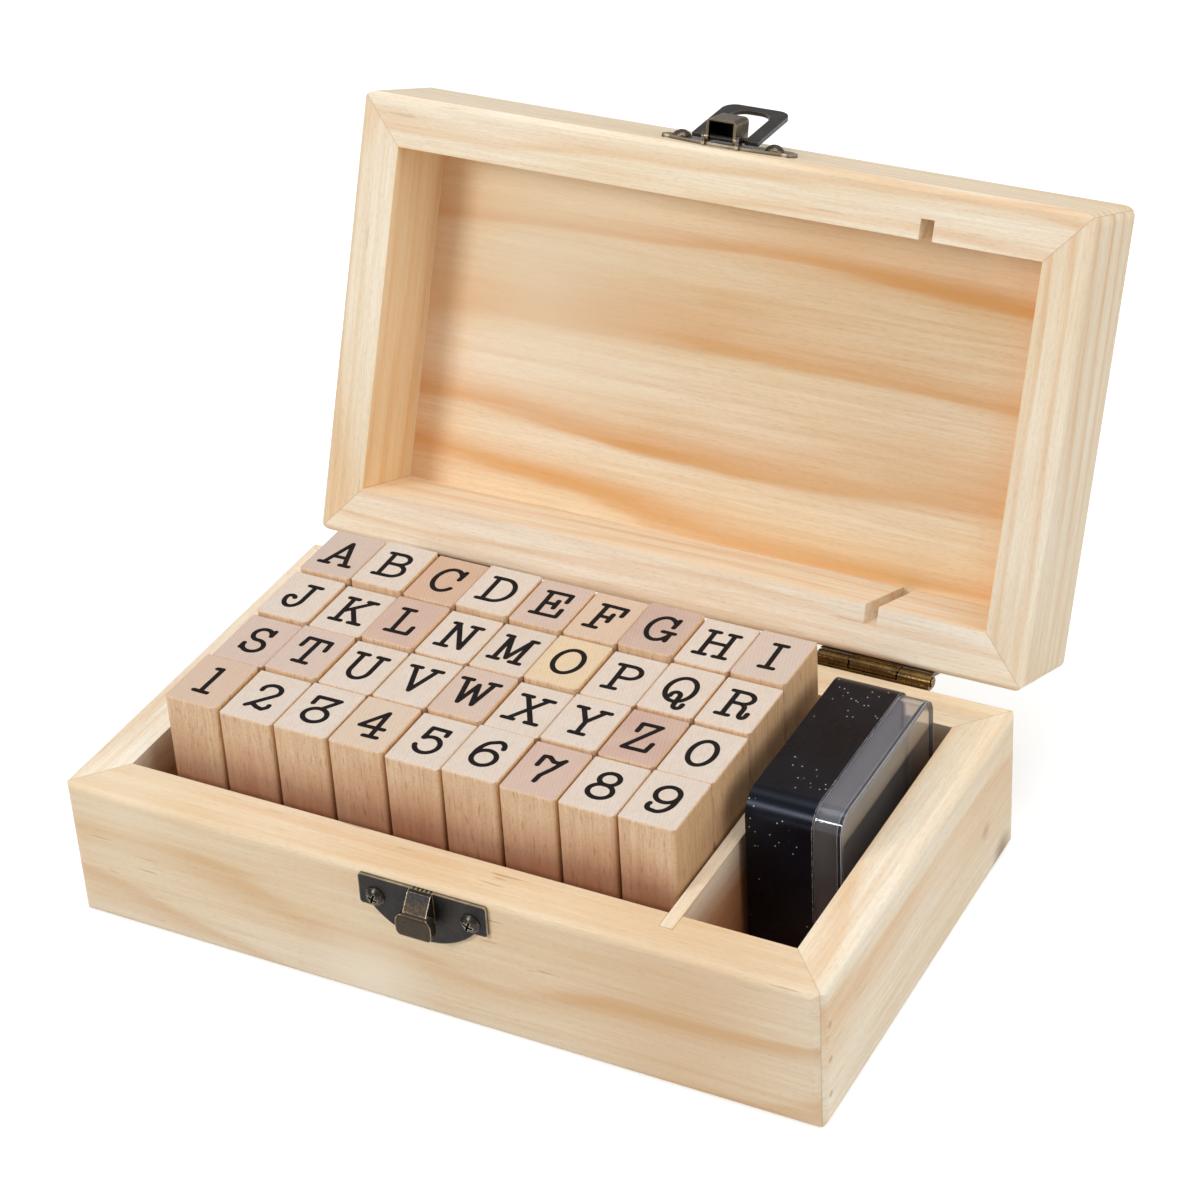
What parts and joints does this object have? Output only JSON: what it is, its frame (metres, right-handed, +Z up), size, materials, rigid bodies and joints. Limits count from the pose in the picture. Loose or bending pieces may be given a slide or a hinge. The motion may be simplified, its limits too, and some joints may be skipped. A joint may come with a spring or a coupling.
{
  "type": "stamp box",
  "caption": "Shallow hinged wooden box with a front draw latch, a divider, square letter and number stamps standing in rows and an ink pad with a clear cover.",
  "frame": {"origin": "centre of the base's underside", "axes": "+X along the long side to the right seen from the front, +Y to the back where the hinges are, +Z up"},
  "size_m": [0.17, 0.1689, 0.1327],
  "materials": {
    "frame_wood": "smooth sanded pine, bare",
    "panel_wood": "smooth thin pine board, bare",
    "stamp_wood": "smooth sanded beech with a printed character on top",
    "aged_brass": "antique brass, darkened, worn brighter at the edges",
    "dark_bronze": "dark antique bronze plating, worn at the edges",
    "black_plastic": "glossy moulded black plastic",
    "ink_felt": "felt soaked with black ink",
    "clear_plastic": "clear moulded plastic, slightly grey"
  },
  "bodies": {
    "base": {"front_wall": "frame_wood", "back_wall": "frame_wood", "left_wall": "frame_wood", "right_wall": "frame_wood", "floor_panel": "panel_wood", "divider": "frame_wood", "hinge_base_leaves": "aged_brass", "hinge_pins": "aged_brass", "catch_plate": "dark_bronze", "base_screws": "dark_bronze"},
    "lid": {"lid_front_rail": "frame_wood", "lid_back_rail": "frame_wood", "lid_left_rail": "frame_wood", "lid_right_rail": "frame_wood", "lid_panel": "panel_wood", "hinge_lid_leaves": "aged_brass", "latch_plate": "dark_bronze", "lid_screws": "dark_bronze"},
    "lever": {"latch_lever": "dark_bronze", "latch_pin": "dark_bronze"},
    "ring": {"latch_ring": "dark_bronze"},
    "ink_pad": {"pad_case": "black_plastic", "pad_felt": "ink_felt"},
    "pad_top": {"pad_cover": "clear_plastic"},
    "stamp_a_body": {"stamp_a": "stamp_wood"},
    "stamp_b_body": {"stamp_b": "stamp_wood"},
    "stamp_c_body": {"stamp_c": "stamp_wood"},
    "stamp_d_body": {"stamp_d": "stamp_wood"},
    "stamp_e_body": {"stamp_e": "stamp_wood"},
    "stamp_f_body": {"stamp_f": "stamp_wood"},
    "stamp_g_body": {"stamp_g": "stamp_wood"},
    "stamp_h_body": {"stamp_h": "stamp_wood"},
    "stamp_i_body": {"stamp_i": "stamp_wood"},
    "stamp_j_body": {"stamp_j": "stamp_wood"},
    "stamp_k_body": {"stamp_k": "stamp_wood"},
    "stamp_l_body": {"stamp_l": "stamp_wood"},
    "stamp_n_body": {"stamp_n": "stamp_wood"},
    "stamp_m_body": {"stamp_m": "stamp_wood"},
    "stamp_o_body": {"stamp_o": "stamp_wood"},
    "stamp_p_body": {"stamp_p": "stamp_wood"},
    "stamp_q_body": {"stamp_q": "stamp_wood"},
    "stamp_r_body": {"stamp_r": "stamp_wood"},
    "stamp_s_body": {"stamp_s": "stamp_wood"},
    "stamp_t_body": {"stamp_t": "stamp_wood"},
    "stamp_u_body": {"stamp_u": "stamp_wood"},
    "stamp_v_body": {"stamp_v": "stamp_wood"},
    "stamp_w_body": {"stamp_w": "stamp_wood"},
    "stamp_x_body": {"stamp_x": "stamp_wood"},
    "stamp_y_body": {"stamp_y": "stamp_wood"},
    "stamp_z_body": {"stamp_z": "stamp_wood"},
    "stamp_0_body": {"stamp_0": "stamp_wood"},
    "stamp_1_body": {"stamp_1": "stamp_wood"},
    "stamp_2_body": {"stamp_2": "stamp_wood"},
    "stamp_3_body": {"stamp_3": "stamp_wood"},
    "stamp_4_body": {"stamp_4": "stamp_wood"},
    "stamp_5_body": {"stamp_5": "stamp_wood"},
    "stamp_6_body": {"stamp_6": "stamp_wood"},
    "stamp_7_body": {"stamp_7": "stamp_wood"},
    "stamp_8_body": {"stamp_8": "stamp_wood"},
    "stamp_9_body": {"stamp_9": "stamp_wood"}
  },
  "joints": [
    {"name": "lid_hinge", "type": "hinge", "parent": "base", "child": "lid", "pos_m": [0, 0.052, 0.033], "axis": [-1, 0, 0], "range_deg": [-111.5, 0]},
    {"name": "latch_lever_pivot", "type": "hinge", "parent": "lid", "child": "lever", "pos_m": [0.0003, 0.09337, 0.12848], "axis": [1, 0, 0], "range_deg": [0, 95]},
    {"name": "latch_ring_pivot", "type": "hinge", "parent": "lever", "child": "ring", "pos_m": [0.0003, 0.09561, 0.1276], "axis": [-1, 0, 0], "range_deg": [-161, 0]},
    {"name": "ink_pad_lift", "type": "slide", "parent": "base", "child": "ink_pad", "axis": [0, 0, 1], "range_m": [0, 0.042]},
    {"name": "pad_cover_pull", "type": "slide", "parent": "ink_pad", "child": "pad_top", "axis": [1, 0, 0], "range_m": [0, 0.002]},
    {"name": "stamp_a_lift", "type": "slide", "parent": "base", "child": "stamp_a_body", "axis": [0, 0, 1], "range_m": [0, 0.042]},
    {"name": "stamp_b_lift", "type": "slide", "parent": "base", "child": "stamp_b_body", "axis": [0, 0, 1], "range_m": [0, 0.042]},
    {"name": "stamp_c_lift", "type": "slide", "parent": "base", "child": "stamp_c_body", "axis": [0, 0, 1], "range_m": [0, 0.042]},
    {"name": "stamp_d_lift", "type": "slide", "parent": "base", "child": "stamp_d_body", "axis": [0, 0, 1], "range_m": [0, 0.042]},
    {"name": "stamp_e_lift", "type": "slide", "parent": "base", "child": "stamp_e_body", "axis": [0, 0, 1], "range_m": [0, 0.042]},
    {"name": "stamp_f_lift", "type": "slide", "parent": "base", "child": "stamp_f_body", "axis": [0, 0, 1], "range_m": [0, 0.042]},
    {"name": "stamp_g_lift", "type": "slide", "parent": "base", "child": "stamp_g_body", "axis": [0, 0, 1], "range_m": [0, 0.042]},
    {"name": "stamp_h_lift", "type": "slide", "parent": "base", "child": "stamp_h_body", "axis": [0, 0, 1], "range_m": [0, 0.042]},
    {"name": "stamp_i_lift", "type": "slide", "parent": "base", "child": "stamp_i_body", "axis": [0, 0, 1], "range_m": [0, 0.042]},
    {"name": "stamp_j_lift", "type": "slide", "parent": "base", "child": "stamp_j_body", "axis": [0, 0, 1], "range_m": [0, 0.042]},
    {"name": "stamp_k_lift", "type": "slide", "parent": "base", "child": "stamp_k_body", "axis": [0, 0, 1], "range_m": [0, 0.042]},
    {"name": "stamp_l_lift", "type": "slide", "parent": "base", "child": "stamp_l_body", "axis": [0, 0, 1], "range_m": [0, 0.042]},
    {"name": "stamp_n_lift", "type": "slide", "parent": "base", "child": "stamp_n_body", "axis": [0, 0, 1], "range_m": [0, 0.042]},
    {"name": "stamp_m_lift", "type": "slide", "parent": "base", "child": "stamp_m_body", "axis": [0, 0, 1], "range_m": [0, 0.042]},
    {"name": "stamp_o_lift", "type": "slide", "parent": "base", "child": "stamp_o_body", "axis": [0, 0, 1], "range_m": [0, 0.042]},
    {"name": "stamp_p_lift", "type": "slide", "parent": "base", "child": "stamp_p_body", "axis": [0, 0, 1], "range_m": [0, 0.042]},
    {"name": "stamp_q_lift", "type": "slide", "parent": "base", "child": "stamp_q_body", "axis": [0, 0, 1], "range_m": [0, 0.042]},
    {"name": "stamp_r_lift", "type": "slide", "parent": "base", "child": "stamp_r_body", "axis": [0, 0, 1], "range_m": [0, 0.042]},
    {"name": "stamp_s_lift", "type": "slide", "parent": "base", "child": "stamp_s_body", "axis": [0, 0, 1], "range_m": [0, 0.042]},
    {"name": "stamp_t_lift", "type": "slide", "parent": "base", "child": "stamp_t_body", "axis": [0, 0, 1], "range_m": [0, 0.042]},
    {"name": "stamp_u_lift", "type": "slide", "parent": "base", "child": "stamp_u_body", "axis": [0, 0, 1], "range_m": [0, 0.042]},
    {"name": "stamp_v_lift", "type": "slide", "parent": "base", "child": "stamp_v_body", "axis": [0, 0, 1], "range_m": [0, 0.042]},
    {"name": "stamp_w_lift", "type": "slide", "parent": "base", "child": "stamp_w_body", "axis": [0, 0, 1], "range_m": [0, 0.042]},
    {"name": "stamp_x_lift", "type": "slide", "parent": "base", "child": "stamp_x_body", "axis": [0, 0, 1], "range_m": [0, 0.042]},
    {"name": "stamp_y_lift", "type": "slide", "parent": "base", "child": "stamp_y_body", "axis": [0, 0, 1], "range_m": [0, 0.042]},
    {"name": "stamp_z_lift", "type": "slide", "parent": "base", "child": "stamp_z_body", "axis": [0, 0, 1], "range_m": [0, 0.042]},
    {"name": "stamp_0_lift", "type": "slide", "parent": "base", "child": "stamp_0_body", "axis": [0, 0, 1], "range_m": [0, 0.042]},
    {"name": "stamp_1_lift", "type": "slide", "parent": "base", "child": "stamp_1_body", "axis": [0, 0, 1], "range_m": [0, 0.042]},
    {"name": "stamp_2_lift", "type": "slide", "parent": "base", "child": "stamp_2_body", "axis": [0, 0, 1], "range_m": [0, 0.042]},
    {"name": "stamp_3_lift", "type": "slide", "parent": "base", "child": "stamp_3_body", "axis": [0, 0, 1], "range_m": [0, 0.042]},
    {"name": "stamp_4_lift", "type": "slide", "parent": "base", "child": "stamp_4_body", "axis": [0, 0, 1], "range_m": [0, 0.042]},
    {"name": "stamp_5_lift", "type": "slide", "parent": "base", "child": "stamp_5_body", "axis": [0, 0, 1], "range_m": [0, 0.042]},
    {"name": "stamp_6_lift", "type": "slide", "parent": "base", "child": "stamp_6_body", "axis": [0, 0, 1], "range_m": [0, 0.042]},
    {"name": "stamp_7_lift", "type": "slide", "parent": "base", "child": "stamp_7_body", "axis": [0, 0, 1], "range_m": [0, 0.042]},
    {"name": "stamp_8_lift", "type": "slide", "parent": "base", "child": "stamp_8_body", "axis": [0, 0, 1], "range_m": [0, 0.042]},
    {"name": "stamp_9_lift", "type": "slide", "parent": "base", "child": "stamp_9_body", "axis": [0, 0, 1], "range_m": [0, 0.042]}
  ]
}
